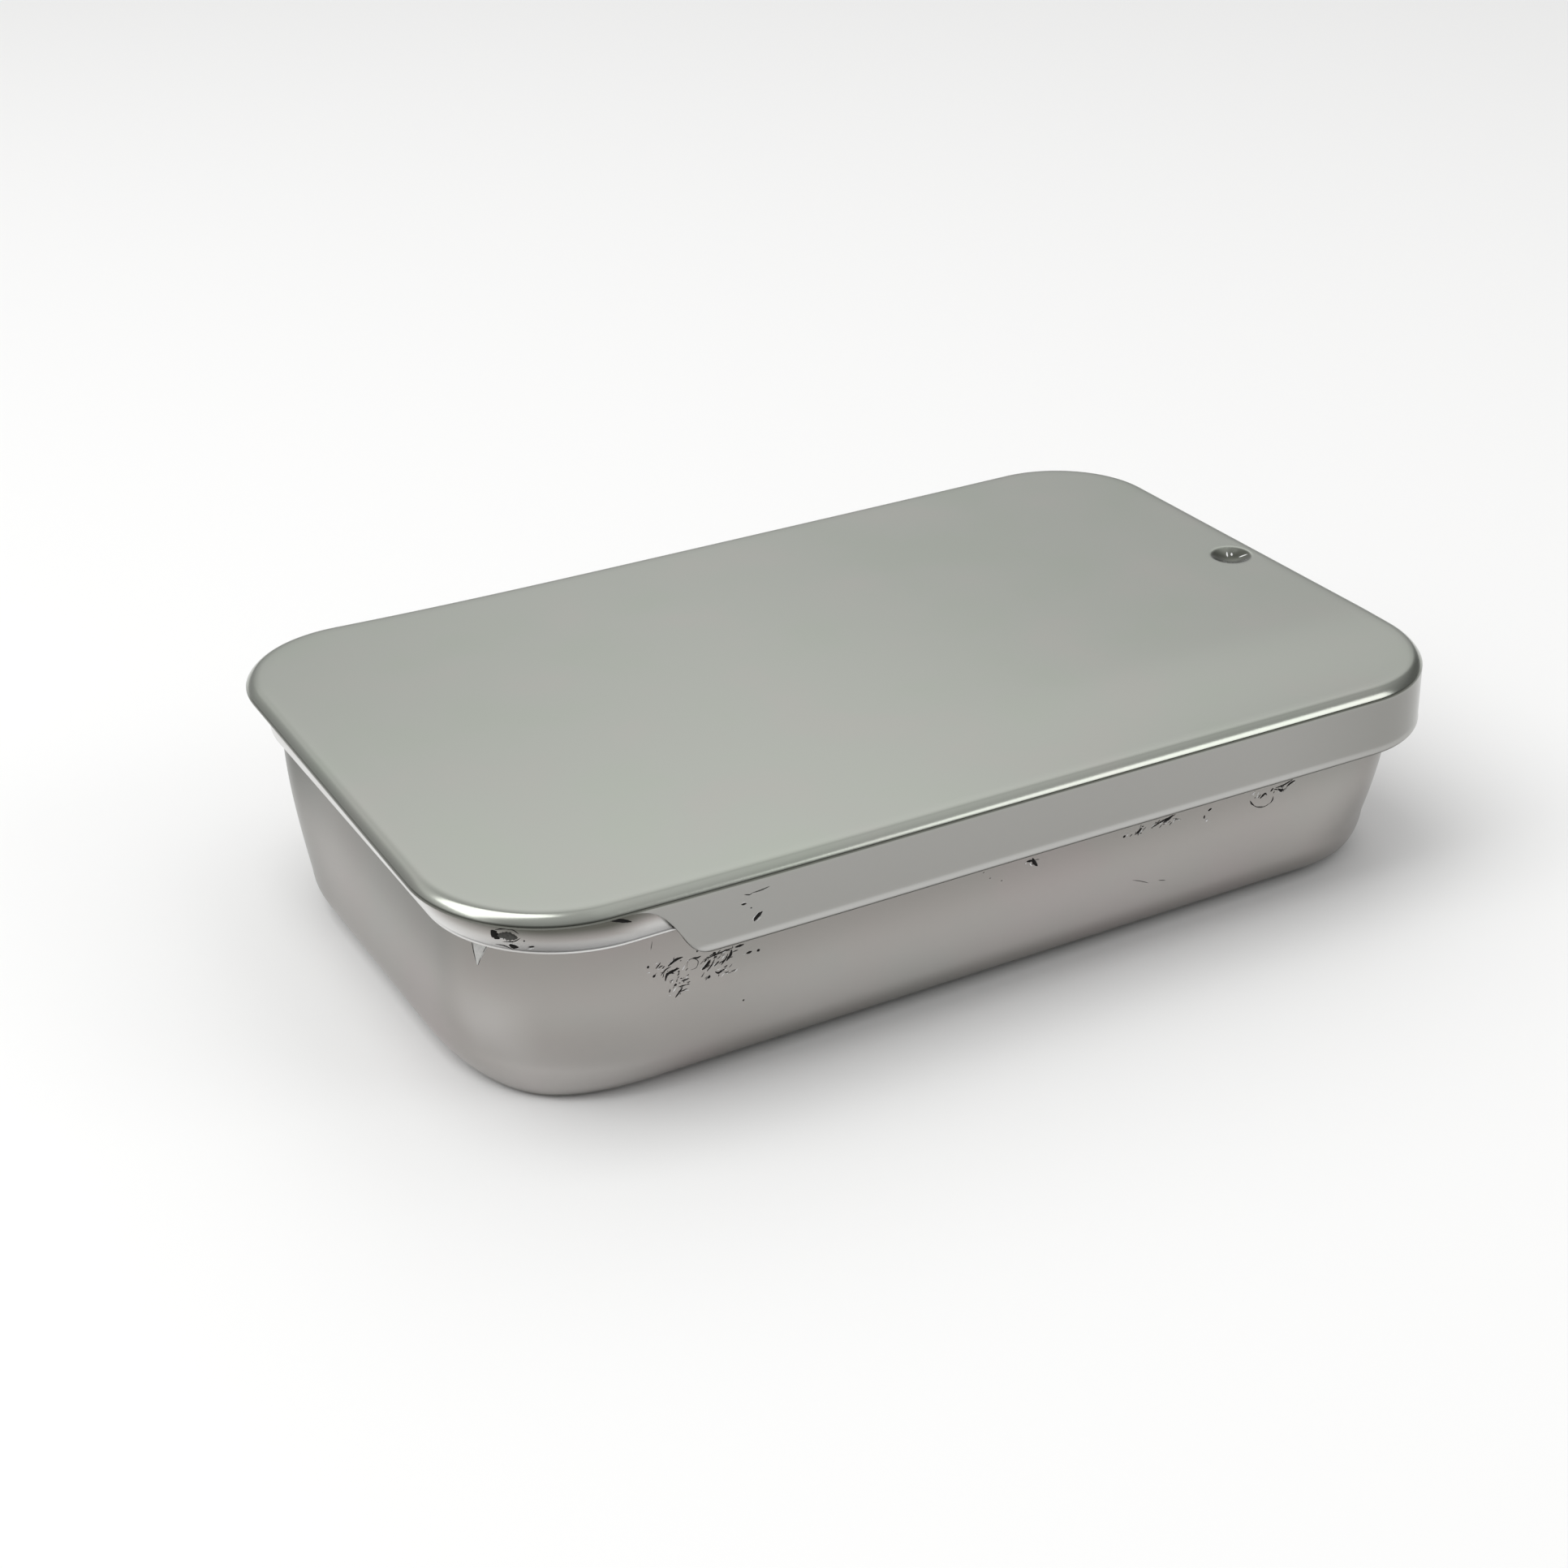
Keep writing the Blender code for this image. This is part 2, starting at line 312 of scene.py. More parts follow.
def ripple(x, y, z, size):
    """Gentle unevenness of pressed sheet."""
    u, v, w = x / size, y / size, z / size
    return RIPPLE * (math.sin(2.1 * u + 0.7 * v + 1.3) + math.sin(1.3 * v - 1.7 * w + 2.2 * u + 0.4)
                     + math.sin(2.9 * w + 1.1 * u - 0.6 * v)) / 4


# ------------ lid
def lift_at(x, y):
    """How far the bent lid is raised at this place: most at the back corner of its open end."""
    along = min(max((HALF_LENGTH - x) / (2 * HALF_LENGTH), 0.0), 1.0)
    towards_back = min(max((y + HALF_WIDTH) / (2 * HALF_WIDTH), 0.0), 1.0)
    return (LIFT_FRONT + (LIFT_BACK - LIFT_FRONT) * towards_back) * along ** LIFT_POWER


def skirt_depth(point, normal):
    """How far the lid's edge reaches down at this place of its outline."""
    x = point.x / MM
    faces_closed_end = abs(normal.y) < 0.5 and x > 0
    if faces_closed_end:
        return SKIRT_DEPTH
    if x <= SKIRT_END[0][0]:
        return LIP_DEPTH
    for (x_a, depth_a), (x_b, depth_b) in zip(SKIRT_END, SKIRT_END[1:]):
        if x <= x_b:
            return (depth_a + (depth_b - depth_a) * (x - x_a) / (x_b - x_a)) * MM
    return SKIRT_DEPTH


def roll_reach(turn, size):
    """(inset, drop) covered by the rolled edge's outer face until it has turned by this many degrees."""
    inset = drop = 0.0
    done = 0.0
    for span, radius in ROLL_ARCS:
        before = math.radians(done)
        after = math.radians(min(turn, done + span))
        inset += size * radius * (math.sin(after) - math.sin(before))
        drop += size * radius * (math.cos(before) - math.cos(after))
        done += span
        if turn <= done:
            break
    return inset, drop


def roll_point(turn, size, side):
    """(inset, drop) on the rolled edge; side is 0 on the outer face and 1 on the inner one."""
    inset, drop = roll_reach(turn, size)
    angle = math.radians(turn)
    full_inset = roll_reach(90, size)[0]
    return full_inset - inset + side * SHEET * math.sin(angle), drop + side * SHEET * math.cos(angle)


def roll_size(point):
    """The roll is larger round the lid's open end than along its skirt."""
    return 1 + ROLL_GROWTH * (1 - fade(point.x, *ROLL_GROWTH_X))


def skirt_share(share):
    """Spreads the skirt's rows so that they lie close together just under the roll and at the bead."""
    return 0.5 - 0.5 * math.cos(math.pi * share)


def lid_profile(depth, size):
    """Outer and inner line of the lid's edge as (inset, drop), from the flat top to the edge's end.

    At its full depth the edge ends in a bead and a hem turned inwards, and elsewhere in a round cut edge.
    """
    full = fade(depth, *HEM_DEPTHS)
    half_sheet = SHEET / 2
    roll_drop = roll_reach(90, size)[1]
    cut_foot = max(depth - half_sheet, roll_drop)
    hem_foot = max(depth - HEM_RADIUS, roll_drop)
    foot = cut_foot + (hem_foot - cut_foot) * full
    outer = [roll_point(90 * row / ROLL_ROWS, size, 0) for row in range(ROLL_ROWS + 1)]
    inner = [roll_point(90 * row / ROLL_ROWS, size, 1) for row in range(ROLL_ROWS + 1)]
    out = 0.0
    for row in range(1, SKIRT_ROWS + 1):
        drop = roll_drop + (foot - roll_drop) * skirt_share(row / SKIRT_ROWS)
        out = full * BEAD * smooth_step(foot - BEAD_HEIGHT, foot, drop)
        outer.append((-out, drop))
        inner.append((SHEET - out, drop))
    middle = Vector(((outer[-1][0] + inner[-1][0]) / 2, foot))
    inner_radius = max(HEM_RADIUS - SHEET, HEM_INNER_MIN)
    for row in range(1, HEM_ROWS + 1):
        turn = math.radians(90 * row / HEM_ROWS)
        for line, side, hem_radius in ((outer, -1, HEM_RADIUS), (inner, 1, inner_radius)):
            cut = middle + Vector((side * math.cos(turn), math.sin(turn))) * half_sheet
            hem = Vector((HEM_RADIUS - hem_radius * math.cos(turn) - out, foot + hem_radius * math.sin(turn)))
            line.append(tuple(cut.lerp(hem, full)))
    for line in (outer, inner):
        line.append((line[-1][0] + HEM_REACH * full, line[-1][1]))
    return outer + inner[::-1]


def lid_core(places):
    """The corner centre behind each place, or the point between two of them."""
    corners = ((1, 1, CORNER_CLOSED), (-1, 1, CORNER_OPEN), (-1, -1, CORNER_OPEN), (1, -1, CORNER_CLOSED))
    centres = [Vector((side_x * (HALF_LENGTH - radius), side_y * (HALF_WIDTH - radius)))
               for side_x, side_y, radius in corners]
    core = []
    for corner, _, run_share in places:
        following = centres[(corner + 1) % 4]
        core.append(centres[corner].lerp(following, run_share or 0.0))
    return core


def plate(bm, places, boundary, height):
    """Closes the flat top inside the boundary ring with rings that shrink to a core, and a grid in it."""
    core = [raised(point, height) for point in lid_core(places)]
    ring = boundary
    for step in range(1, TOP_RINGS):
        share = step / TOP_RINGS
        following = add_ring(bm, [vertex.co.lerp(target, share) for vertex, target in zip(boundary, core)])
        bridge(bm, following, ring)
        ring = following
    inside = []
    corners = {}
    sides = {corner: [] for corner in range(4)}
    for target, (corner, arc_share, _) in zip(core, places):
        if arc_share is None:
            inside.append(bm.verts.new(target))
            sides[corner].append(inside[-1])
            continue
        if corner not in corners:
            corners[corner] = bm.verts.new(target)
        inside.append(corners[corner])
    count = len(places)
    for index in range(count):
        after = (index + 1) % count
        around = (inside[index], ring[index], ring[after], inside[after])
        bm.faces.new(list(dict.fromkeys(around)))
    back = [corners[1]] + sides[0][::-1] + [corners[0]]
    front = [corners[2]] + sides[2] + [corners[3]]
    left = [corners[2]] + sides[1][::-1] + [corners[1]]
    right = [corners[3]] + sides[3] + [corners[0]]
    columns = [left]
    for low, high in list(zip(front, back))[1:-1]:
        shares = even(len(left) - 1)
        columns.append([low] + [bm.verts.new(low.co.lerp(high.co, share)) for share in shares] + [high])
    columns.append(right)
    for before, after in zip(columns, columns[1:]):
        for row in range(len(before) - 1):
            bm.faces.new((before[row], after[row], after[row + 1], before[row + 1]))


def dent_at(x, y):
    """Depth of the pressed dent: a bowl whose edge rounds over into the flat top."""
    distance = (Vector((x, y)) - DENT).length / DENT_RADIUS
    if distance >= 1 + DENT_SHOULDER:
        return 0.0
    bowl = max(1 - distance ** 2, 0.0) * (1 - DENT_SLOPE * distance ** 2)
    if distance <= 1 - DENT_SHOULDER:
        return DENT_DEPTH * bowl
    edge_depth = (1 - (1 - DENT_SHOULDER) ** 2) / 2
    shoulder = edge_depth * (1 - smooth_step(1 - DENT_SHOULDER, 1 + DENT_SHOULDER, distance))
    return DENT_DEPTH * max(bowl, shoulder)


def dent_painted_shade(x, y):
    """Painted shade in the dent here: evenly black, but thinner towards its far side."""
    from_dent = (Vector((x, y)) - DENT) / DENT_RADIUS
    inside = 1 - smooth_step(*DENT_PAINTED_SHADE_EDGE, from_dent.length)
    far_side = smooth_step(*DENT_FAR_RANGE, from_dent.dot(DENT_FAR_SIDE))
    return DENT_PAINTED_SHADE * inside * (1 - DENT_FAR_LOSS * far_side)


def lid_painted_light(x, y, depth, in_skirt):
    """Painted light on the lid here: a painted highlight above 0, and painted shade below 0."""
    above_foot = SKIRT_DEPTH - depth
    foot_band = FOOT_BAND * fade(above_foot, *FOOT_BAND_HEIGHTS)
    foot_line = FOOT_LINE * fade(above_foot, *FOOT_LINE_HEIGHTS)
    closed_end = CLOSED_END_SHADE * fade(x, *CLOSED_END_X) * in_skirt
    line = LINE_SHADE * math.prod(fade(depth, *depths) for depths in LINE_DEPTHS)
    lip = LINE_SHADE * fade(depth, *LIP_DEPTHS) * fade(x, *LIP_X)
    return foot_band - foot_line - closed_end - max(line, lip, dent_painted_shade(x, y))


def lid_stations():
    """Stations round the lid, close together along the skirt's free end."""
    long_count, short_count = LID_RUNS
    run = 2 * HALF_LENGTH - CORNER_OPEN - CORNER_CLOSED
    start = -HALF_LENGTH + CORNER_OPEN
    cut = [((CUT_START + CUT_STEP * step) * MM - start) / run for step in range(CUT_STATIONS)]
    beyond = [share for share in even(long_count) if share > cut[-1] + CUT_MARGIN]
    return stations(sorted(beyond + cut + [FIRST_STATION]), even(short_count))


def refine_dent(bm):
    """Divides the faces of the flat top round the dent more finely."""
    edges = []
    for face in bm.faces:
        middle = face.calc_center_median()
        if (middle.xy - DENT).length < DENT_SURROUND and middle.z > TOP_UNDERSIDE:
            edges += face.edges
    bmesh.ops.subdivide_edges(bm, edges=list(dict.fromkeys(edges)), cuts=DENT_CUTS, use_grid_fill=True)


def bend_lid(vertex):
    """Moves a vertex of the straight lid to where the bent, skewed and dented one has it."""
    x, y, z = vertex.co
    vertex.co.x += SKEW * smooth_step(-HALF_WIDTH, HALF_WIDTH, y) * smooth_step(0, HALF_LENGTH, -x)
    vertex.co.z -= DROOP * fade(x, *DROOP_X) * fade(y, *DROOP_Y)
    vertex.co.z += lift_at(x, y) + ripple(x, y, z * LID_RIPPLE_STRETCH, LID_RIPPLE)
    if z > TOP_UNDERSIDE:
        vertex.co.z -= dent_at(x, y)


def build_lid():
    places = lid_stations()
    edge = outline(places, (-HALF_LENGTH, HALF_LENGTH), HALF_WIDTH, CORNER_OPEN, CORNER_CLOSED)
    profiles = [lid_profile(skirt_depth(point, normal), roll_size(point)) for point, normal in edge]
    bm = bmesh.new()
    # this attribute carries the painted light and shade of each vertex
    painted_light_and_shade = bm.verts.layers.float.new("painted_light_and_shade")
    skirt = bm.verts.layers.float.new("skirt")
    rings = []
    for row in range(len(profiles[0])):
        points = []
        for (point, normal), profile in zip(edge, profiles):
            inset, drop = profile[row]
            points.append(raised(point - normal * inset, LID_TOP - drop))
        rings.append(add_ring(bm, points))
    for upper, lower in zip(rings, rings[1:]):
        bridge(bm, upper, lower)
    plate(bm, places, rings[0], LID_TOP)
    plate(bm, places, rings[-1], LID_TOP - SHEET)
    refine_dent(bm)
    for vertex in bm.verts:
        x, y, z = vertex.co
        vertex[skirt] = fade(LID_TOP - z, *SKIRT_TINT_DEPTHS)
        vertex[painted_light_and_shade] = lid_painted_light(x, y, LID_TOP - z, vertex[skirt])
        bend_lid(vertex)
    lid = add_sheet("lid_sheet", bm)
    lid.data.materials.append(satin_metal("lid_satin", LID_TINTS, LID_ROUGHNESS, SKIRT_TINT))
    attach(lid, "root")
    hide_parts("lid")
    return lid


# ------------ tray
def open_end_bulge(height):
    """The wall under the lid's open end bulges most at half height."""
    if height > BULGE_MIDDLE:
        return BULGE * max(1 - ((height - BULGE_MIDDLE) / BULGE_ABOVE) ** 2, 0.0)
    return BULGE * (1 - BULGE_FOOT_LOSS * ((BULGE_MIDDLE - height) / BULGE_MIDDLE) ** 2)


def closed_end_draft(height):
    """The closed end's wall leans out towards its top."""
    return DRAFT * (1 - (1 - min(height / DRAFT_HEIGHT, 1.0)) ** 2)


def rim_painted_light(place):
    """Painted highlight on the rim here, or below 0 the painted shade right under the lid."""
    share = (place.z - RIM_BOTTOM) / (RIM_TOP - RIM_BOTTOM)
    by_skirt = RIM_SKIRT_HIGHLIGHT * fade(place.x, *RIM_SKIRT_X) if place.y < 0 else 0.0
    bright = max(math.prod(smooth_step(*heights, share) for heights in RIM_HIGHLIGHT_HEIGHTS),
                 by_skirt * smooth_step(*RIM_SKIRT_HEIGHTS, share))
    strength = RIM_HIGHLIGHT - RIM_CORNER_LOSS * in_ranges(place, RIM_CORNER_PLACE)
    wander = RIM_HIGHLIGHT_WANDER * noise.noise(Vector((place.x, place.y, RIM_HIGHLIGHT_LAYER)) / RIM_HIGHLIGHT_LENGTH)
    dim = smooth_step(*RIM_DIM_HEIGHTS, share) * (1 - RIM_SKIRT_SHADE_LOSS * by_skirt)
    return min(max(RIM_HIGHLIGHT_BASE + strength * bright + wander - dim, RIM_DIM_MOST), 1.0)


def near_corner_highlight(place):
    """Painted highlight on the tray's near corner, at the front of its open end, here."""
    if place.x >= 0 or place.y >= 0:
        return 0.0
    outward = place.xy - NEAR_CORNER_CENTRE
    turn = math.degrees(math.atan2(-outward.y, -outward.x))
    around = math.prod(smooth_step(*turns, turn) for turns in NEAR_CORNER_TURNS)
    return NEAR_CORNER_HIGHLIGHT * around * fade(place.z, *NEAR_CORNER_HEIGHTS)


def wall_painted_light(place):
    """Painted light on the wall here, or below 0 painted shade."""
    end = fade(place.x, *WALL_END_X)
    under_rim_low = UNDER_RIM_LOW + (UNDER_RIM_LOW_END - UNDER_RIM_LOW) * end
    under_rim = (UNDER_RIM + UNDER_RIM_END * end) * smooth_step(under_rim_low, RIM_BOTTOM, place.z)
    shades = sum(strength * in_ranges(place, ranges) for strength, ranges in WALL_SHADES)
    return near_corner_highlight(place) - under_rim + shades


def wall_ring(bm, places, inset, radii, height):
    """One ring of the tray's foot or wall."""
    x_range = (TRAY_X[0] - open_end_bulge(height) + inset, TRAY_X[1] + closed_end_draft(height) - inset)
    edge = outline(places, x_range, TRAY_HALF_WIDTH - inset, *radii, power=TRAY_CORNER_POWER)
    points = []
    for point, normal in edge:
        swell = ripple(point.x, point.y, height, TRAY_RIPPLE) * fade(height, *TRAY_RIPPLE_HEIGHTS)
        points.append(raised(point + normal * swell, height))
    return add_ring(bm, points)


def wall_rings(bm, places):
    """Rings from the ground up to the wall's top: a rounded foot, and a wall with wide lower corners."""
    rings = []
    for row in range(FOOT_ROWS + 1):
        turn = math.radians(90 - 90 * row / FOOT_ROWS)
        inward = 1 - math.cos(turn)
        radii = [low + (TRAY_CORNER_BASE - low) * inward for low in TRAY_CORNER_LOW]
        rings.append(wall_ring(bm, places, FOOT_WIDTH * inward, radii, FOOT_HEIGHT * (1 - math.sin(turn))))
    for row in range(1, WALL_ROWS + 1):
        share = row / WALL_ROWS
        lowness = (1 - share) ** TRAY_CORNER_CHANGE
        radii = [top + (low - top) * lowness for top, low in zip(TRAY_CORNER_TOP, TRAY_CORNER_LOW)]
        rings.append(wall_ring(bm, places, 0.0, radii, FOOT_HEIGHT + (WALL_TOP - FOOT_HEIGHT) * share))
    return rings


def rim_rings(bm, places, wall_top):
    """Rings from the wall's top out under the rim, round its lower edge and up to its top."""
    rim = outline(places, RIM_X, RIM_HALF_WIDTH, RIM_CORNER, RIM_CORNER)

    def rim_ring(inset, height):
        return add_ring(bm, [raised(point - normal * inset, height) for point, normal in rim])

    rings = []
    for share in TUCK_SHARES:
        points = []
        for vertex, (point, normal) in zip(wall_top, rim):
            height = vertex.co.z + (RIM_BOTTOM - vertex.co.z) * share ** TUCK_POWER
            points.append(raised(vertex.co.xy.lerp(point - normal * RIM_EDGE, share), height))
        rings.append(add_ring(bm, points))
    for degrees in range(0, RIM_EDGE_TURN + 1, RIM_EDGE_STEP):
        turn = math.radians(degrees)
        rings.append(rim_ring(RIM_EDGE * (1 - math.sin(turn)), RIM_BOTTOM + RIM_EDGE * (1 - math.cos(turn))))
    for row in range(1, BAND_ROWS + 1):
        share = (row / BAND_ROWS) ** BAND_SPREAD
        lean = RIM_LEAN * (1 - (1 - share) ** RIM_FLARE_POWER)
        rings.append(rim_ring(BAND_INSET + lean, BAND_FOOT + (RIM_TOP - BAND_FOOT) * share))
    return rings


def build_tray():
    places = stations(*[even(count) for count in TRAY_RUNS])
    bm = bmesh.new()
    # this attribute carries the painted light and shade of each vertex
    painted_light_and_shade = bm.verts.layers.float.new("painted_light_and_shade")
    wall = wall_rings(bm, places)
    rim = rim_rings(bm, places, wall[-1])
    rings = wall + rim
    for index, ring in enumerate(rings):
        # The first ring under the rim still has the wall's shade
        shade = rim_painted_light if index > len(wall) else wall_painted_light
        for vertex in ring:
            vertex[painted_light_and_shade] = shade(vertex.co)
    for upper, lower in zip(rings[1:], rings):
        bridge(bm, upper, lower)
    bm.faces.new(rings[0])
    bm.faces.new(rings[-1])
    tray = add_sheet("tray_body", bm)
    tray.data.materials.append(satin_metal("tray_satin", TRAY_TINTS, TRAY_ROUGHNESS))
    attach(tray, "root")
    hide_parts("tray")
    return tray


# ------------ wear, with a painted shadow and painted glints among the marks
WALL_Y = -TRAY_HALF_WIDTH / MM           # planes the flat marks lie on, in mm
SKIRT_Y = -HALF_WIDTH / MM


def flat_marks(plane, *marks):
    """Marks on a flat side, from (width, (x, z), (x, z), ...) in mm."""
    return [([(x, plane, z) for x, z in places], width) for width, *places in marks]


# Marks on the flat sides; one with a single place is a round fleck
WALL_DARK = flat_marks(
    WALL_Y,
    (0.14, (-22.8, 9.5), (-21.8, 9.63), (-20.6, 9.76)),
    (0.15, (-23.6, 9.9), (-23.25, 9.8), (-23.0, 9.86)),
    (0.12, (-25.95, 9.3), (-25.6, 9.62), (-25.2, 9.75)),
    (0.14, (-22.6, 8.55), (-22.25, 8.9), (-22.0, 9.3)),
    (0.14, (-21.55, 8.7), (-21.2, 9.05), (-21.0, 9.4)),
    (0.16, (24.2, 9.28), (24.9, 9.32), (25.7, 9.55)),
    (0.16, (13.1, 9.1), (14.0, 9.38), (15.2, 9.62)),
    (0.24, (-25.41, 9.83), (-24.86, 10.13), (-24.32, 10.2)),
    (0.26, (-25.66, 8.77), (-25.5, 9.22), (-25.05, 9.36), (-24.61, 9.44)),
    (0.12, (-26.31, 9.91), (-25.92, 10.28)),
    (0.15, (-24.48, 8.39), (-23.93, 8.43)),
    (0.18, (-24.43, 7.87), (-24.98, 7.29)),
    (0.12, (-24.72, 8.02), (-24.12, 8.01)),
    (0.11, (-24.62, 7.61), (-24.08, 7.69)),
    (0.31, (-22.95, 8.77), (-22.6, 9.01), (-22.31, 9.35)),
    (0.15, (-22.79, 9.32), (-22.58, 9.47)),
    (0.15, (-22.06, 8.77), (-21.67, 9.04)),
    (0.19, (-22.01, 8.32), (-21.74, 8.16), (-21.35, 8.32)),
    (0.24, (-20.71, 9.63), (-20.83, 9.24), (-21.15, 8.88)),
    (0.23, (-19.65, 8.98), (-19.23, 9.03)),
    (0.22, (-20.46, 9.72), (-19.8, 9.75)),
    (0.24, (-26.44, 9.41)),
    (0.2, (-26.84, 10.22)),
    (0.22, (-24.94, 8.25)),
    (0.26, (-22.46, 8.07)),
    (0.24, (-22.02, 9.76)),
    (0.24, (-18.74, 8.95)),
    (0.16, (-19.98, 5.44)),
    (0.19, (-23.24, 10.32)),
    (0.31, (2.98, 9.62), (3.12, 9.25), (3.41, 8.86)),
    (0.24, (2.5, 9.46), (3.05, 9.42)),
    (0.24, (10.78, 9.08)),
    (0.24, (11.87, 8.97), (12.27, 9.36)),
    (0.29, (14.16, 9.23), (14.6, 9.43), (15.0, 9.61)),
    (0.2, (18.12, 9.07), (18.41, 9.21)),
    (0.15, (17.82, 8.81), (17.78, 8.53)),
    (0.15, (21.9, 8.86), (22.05, 8.58), (22.32, 8.32)),
    (0.11, (22.52, 8.18), (22.86, 8.07), (23.12, 8.03)),
    (0.13, (23.8, 8.14), (23.97, 8.36), (24.02, 8.62)),
    (0.2, (22.8, 8.79), (23.22, 9.07), (23.41, 8.9)),
    (0.19, (23.73, 9.1), (23.97, 9.33)),
    (0.29, (24.43, 9.14), (24.67, 8.93), (24.95, 8.94)),
    (0.2, (25.2, 9.1), (25.54, 9.3), (25.94, 9.42)),
)
WALL_GREY = flat_marks(
    WALL_Y,
    (0.08, (-24.07, 9.31), (-23.93, 9.77), (-23.57, 9.84), (-23.22, 9.54), (-23.36, 9.09), (-23.78, 9.03)),
    (0.07, (-26.45, 12.04), (-26.58, 11.45)),
    (0.11, (-1.04, 9.65)),
    (0.11, (-0.5, 9.03)),
    (0.11, (0.45, 8.56)),
    (0.14, (13.54, 9.28), (13.84, 9.54)),
    (0.11, (15.02, 9.32), (15.7, 9.07)),
    (0.1, (22.1, 8.46), (22.66, 8.11), (23.26, 8.0), (23.84, 8.18)),
    (0.08, (11.67, 5.24), (12.29, 5.0), (13.11, 4.58)),
    (0.08, (13.98, 4.55), (14.61, 4.37)),
)
WALL_BRIGHT = flat_marks(
    WALL_Y,
    (0.13, (-25.79, 9.71)),
    (0.07, (-23.08, 8.83), (-22.76, 9.08), (-22.48, 9.4)),
    (0.05, (-25.38, 9.97), (-24.86, 10.27)),
    (0.06, (-21.85, 8.44), (-21.5, 8.42)),
    (0.1, (-19.8, 8.99)),
    (0.14, (2.74, 9.3), (2.96, 8.98)),
    (0.09, (12.02, 8.9), (12.4, 9.27)),
    (0.08, (14.25, 9.08), (14.68, 9.27)),
    (0.23, (18.03, 8.33)),
    (0.09, (24.45, 8.98), (24.62, 8.8)),
)

# Marks round the corner and in the dent: (places and width in mm, "blunt" if it keeps its width at its start)
RIM_DARK = [
    ([(-36.62, -20.25, 14.7), (-36.42, -20.43, 14.45), (-36.15, -20.7, 14.22)], 0.6),
    ([(-36.38, -20.41, 14.76), (-36.0, -20.9, 14.95), (-35.55, -21.34, 14.97),
      (-35.26, -21.66, 14.74)], 0.12),
    ([(-35.21, -21.77, 14.48), (-35.56, -21.51, 14.22), (-36.11, -20.95, 14.1)], 0.1),
    ([(-36.48, -20.6, 13.86), (-36.08, -21.09, 13.87), (-35.67, -21.59, 13.72)], 0.09),
    ([(-35.84, -21.32, 13.97), (-35.62, -21.57, 13.91), (-35.38, -21.8, 13.89)], 0.32),
    ([(-35.03, -21.96, 14.32)], 0.14),
    ([(-34.9, -22.19, 13.95), (-34.54, -22.44, 14.03)], 0.13),
    # painted shadow: dark streak on the rim in the gap under the lid's lip
    ([(-30.1, -24.1, 15.42), (-29.4, -24.1, 15.22), (-28.8, -24.1, 15.0), (-28.45, -24.1, 14.86)], 0.3),
    ([(-37.15, -18.05, 13.1), (-37.03, -18.15, 12.2), (-36.93, -18.3, 11.28)], 0.09),
    ([(-36.62, -19.35, 13.1), (-36.8, -18.8, 12.2), (-36.9, -18.4, 11.28)], 0.09),
]
RIM_GREY = [
    ([(-36.3, -20.6, 14.42), (-35.85, -21.1, 14.5), (-35.35, -21.65, 14.48)], 0.62),
]
RIM_BRIGHT = [
    ([(-35.95, -21.28, 14.1), (-35.62, -21.62, 14.06), (-35.3, -21.86, 14.02)], 0.07),
    ([(-34.9, -22.17, 13.82), (-34.54, -22.42, 13.9)], 0.08),
    ([(-36.3, -20.75, 14.3), (-35.9, -21.15, 14.32)], 0.08),
]
RIM_TORN = [
    ([(-36.92, -18.85, 13.36), (-36.9, -18.65, 12.8), (-36.91, -18.48, 12.1),
      (-36.92, -18.33, 11.3)], 1.45, "blunt"),
]
SKIRT_DARK = flat_marks(
    SKIRT_Y,
    (0.09, (-20.83, 15.0), (-20.42, 14.88), (-20.25, 14.96)),
    (0.18, (-21.06, 14.31), (-20.69, 14.3)),
    (0.13, (-20.35, 13.87)),
    (0.36, (-20.17, 12.82), (-19.93, 13.11), (-19.54, 13.36)),
)
SKIRT_GREY = flat_marks(
    SKIRT_Y,
    (0.13, (-20.25, 14.96), (-19.63, 14.97), (-18.98, 15.06)),
)
SKIRT_BRIGHT = flat_marks(
    SKIRT_Y,
    (0.06, (-20.34, 12.92), (-20.12, 13.16), (-19.8, 13.4)),
    (0.05, (-19.98, 12.76), (-19.66, 12.98)),
    (0.05, (-21.0, 14.44), (-20.72, 14.43)),
)
# painted highlights: bright glints and a crescent in the dent's bowl
DENT_PAINTED_GLINTS = [
    ([(37.21, 0.85, 16.12), (37.34, 1.1, 16.18), (37.47, 1.33, 16.26)], 0.16),
    ([(37.56, 0.77, 16.13), (37.73, 1.05, 16.22)], 0.2),
    ([(37.85, 0.25, 16.12), (38.15, 0.08, 16.22), (38.4, -0.14, 16.4)], 0.16),
]

# Fine flecks scattered round the clusters: (x range, height range in mm, number)
FLECKS = (((-25.4, -23.9), (7.4, 10.2), 34), ((-23.0, -20.4), (7.9, 9.8), 44),
          ((-26.9, -25.4), (9.2, 10.3), 9), ((11.0, 15.6), (8.95, 9.5), 28),
          ((22.0, 25.9), (8.9, 9.4), 18), ((2.4, 3.6), (9.1, 9.5), 5))
FLECK_SLANT = (-0.3, 1.3)                # ranges for each fleck: slope in radians, ...
FLECK_REACH = (0.06, 0.20)               # ... half its length, bend and width in mm
FLECK_BEND = (-0.05, 0.05)
FLECK_WIDTH = (0.05, 0.12)
FLECK_GROUPS = (0, 0, 1, 2)              # half of the flecks are dark, the others grey and bright
DOT_SLANT = (0.3, 1.2)                   # slope of the round flecks

